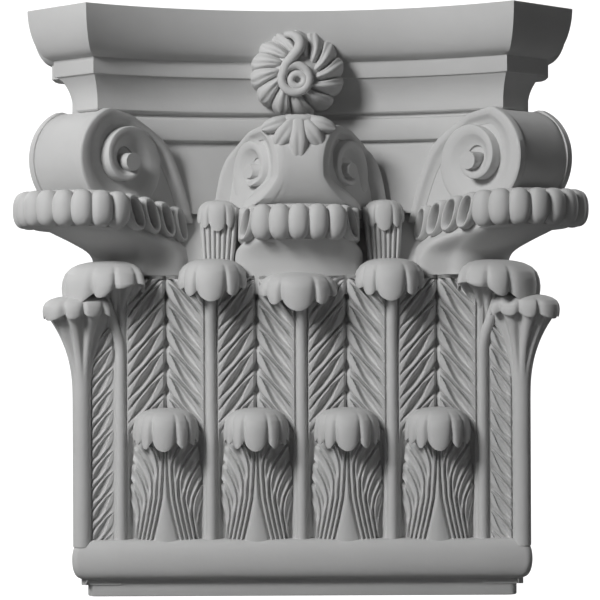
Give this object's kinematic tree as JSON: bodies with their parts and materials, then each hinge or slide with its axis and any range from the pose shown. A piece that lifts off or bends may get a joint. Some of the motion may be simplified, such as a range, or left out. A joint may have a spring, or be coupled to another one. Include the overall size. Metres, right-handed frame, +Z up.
{
  "type": "corinthian pilaster capital",
  "caption": "Flat-backed Corinthian capital for a pilaster, with upright leaves, corner scrolls, a flower and a concave abacus.",
  "frame": {"origin": "centre of the bounding box in plan, on the flat underside", "axes": "+Z up, +X along the wall to the right as seen from the front, +Y into the wall, so the front faces -Y"},
  "size_m": [0.5764, 0.15, 0.603],
  "materials": {
    "primed_moulding": "matt factory primer"
  },
  "bodies": {
    "root": {"pilaster_capital": "primed_moulding"}
  },
  "joints": []
}
